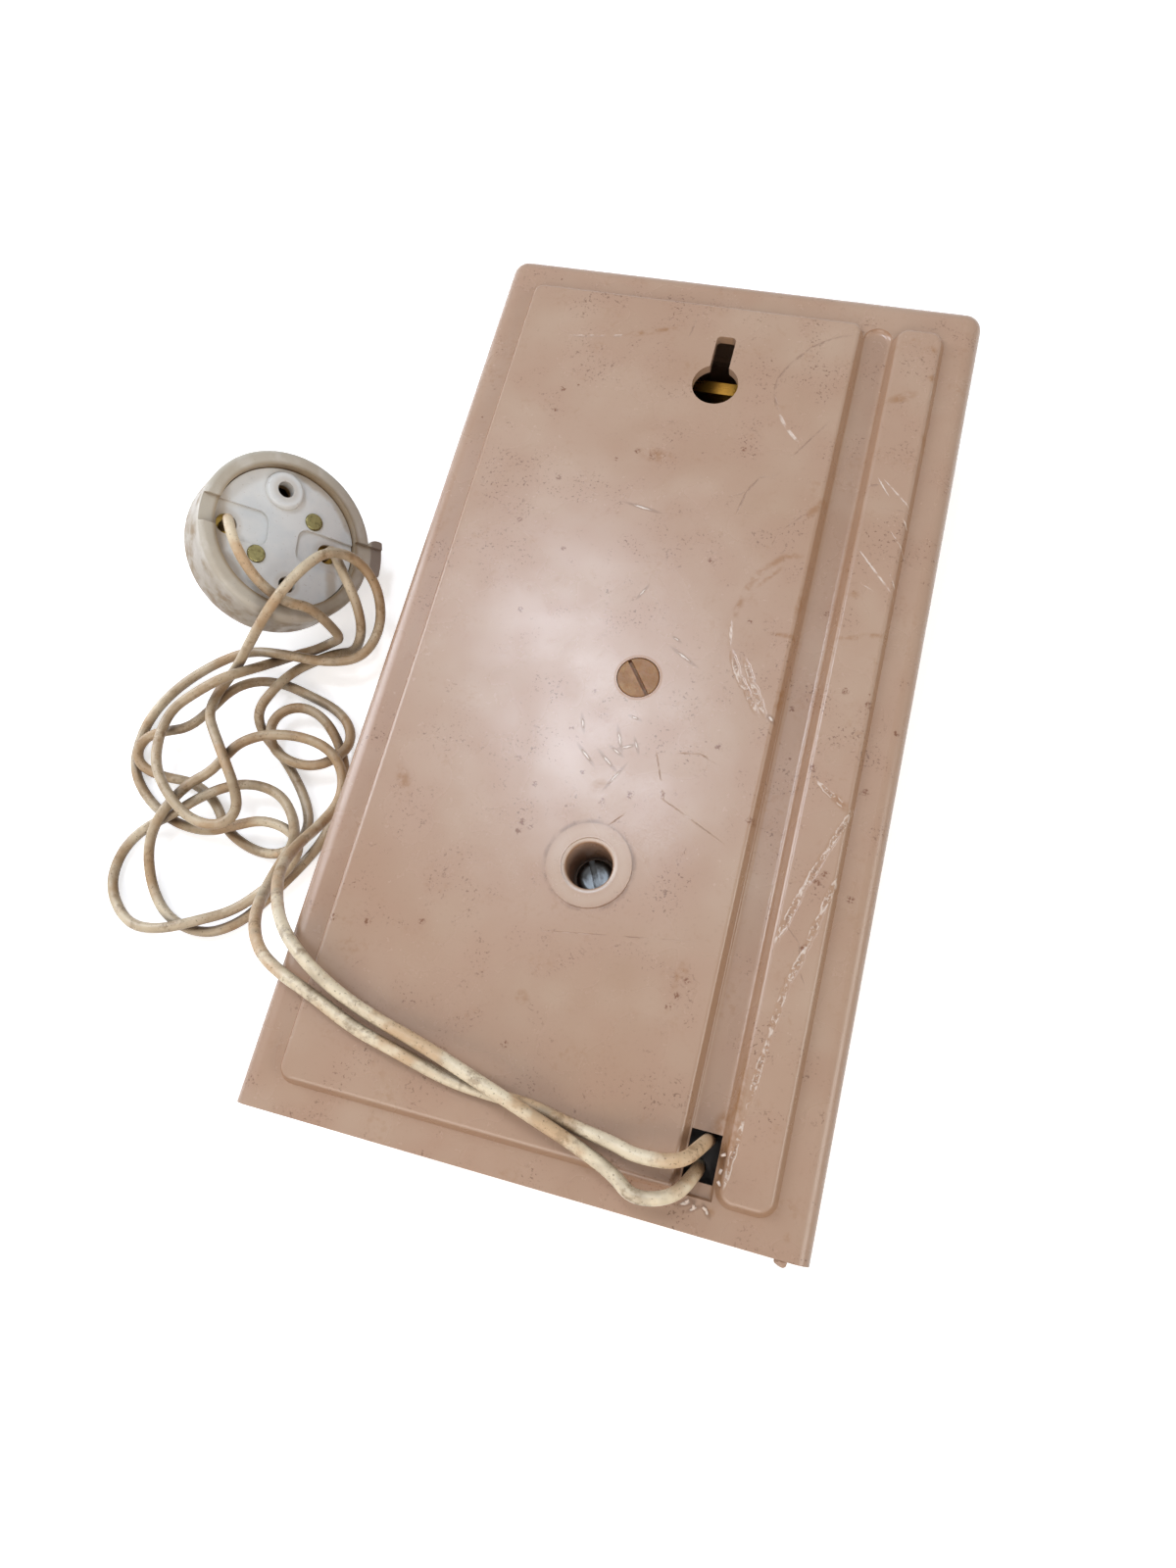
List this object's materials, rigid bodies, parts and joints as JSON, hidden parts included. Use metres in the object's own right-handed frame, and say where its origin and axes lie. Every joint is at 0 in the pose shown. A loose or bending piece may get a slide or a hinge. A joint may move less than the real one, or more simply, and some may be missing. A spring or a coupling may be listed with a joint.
{
  "type": "door chime",
  "caption": "Wired door chime in a flat oblong plastic case, back upward, with a solenoid striker between tone bars and a round bell push on a loose twin wire.",
  "frame": {"origin": "on the front cover's outer face, 1 mm from its centre, under the line of the keyhole and the two screws, on the surface that the chime lies on", "axes": "+X to the right seen from behind, +Y along the case towards the hanging keyhole, +Z out of the back, upward as the chime lies"},
  "size_m": [0.1904, 0.2052, 0.0557],
  "materials": {
    "case_plastic": "satin",
    "screw_plastic": "satin",
    "screw_steel": "satin",
    "frame_plastic": "matt",
    "bar_metal": "satin",
    "grommet_rubber": "matt",
    "yoke_steel": "satin",
    "winding_enamel": "gloss",
    "tip_nylon": "satin",
    "terminal_brass": "satin",
    "lead_plastic": "satin",
    "push_plastic": "satin",
    "base_plastic": "satin",
    "wire_vinyl": "satin"
  },
  "bodies": {
    "case": {"back_shell": "case_plastic", "front_cover": "case_plastic", "cover_screw": "screw_steel", "mechanism_screw": "screw_plastic", "mechanism_frame": "frame_plastic", "upper_tone_bar": "bar_metal", "lower_tone_bar": "bar_metal", "bar_grommets": "grommet_rubber", "bar_screws": "screw_steel", "solenoid_yoke": "yoke_steel", "yoke_screws": "screw_steel", "coil_bobbin": "frame_plastic", "coil_winding": "winding_enamel", "return_spring": "screw_steel", "terminal_block": "frame_plastic", "terminal_screws": "terminal_brass", "coil_leads": "lead_plastic", "push_housing": "push_plastic", "push_base": "base_plastic", "push_terminal_screws": "terminal_brass", "fixed_contacts": "terminal_brass", "wire_a": "wire_vinyl", "wire_b": "wire_vinyl"},
    "striker": {"striker_core": "yoke_steel", "upper_striker_tip": "tip_nylon", "lower_striker_tip": "tip_nylon"},
    "button": {"push_button": "base_plastic", "contact_leaf": "terminal_brass"}
  },
  "joints": [
    {"name": "striker_slide", "type": "slide", "parent": "case", "child": "striker", "axis": [0, 1, 0], "range_m": [-0.003, 0.009], "stiffness_N_per_m": 30, "deforming": ["return_spring"]},
    {"name": "button_press", "type": "slide", "parent": "case", "child": "button", "axis": [0.691, 0.0398, 0.7218], "range_m": [0, 0.002], "stiffness_N_per_m": 400}
  ]
}
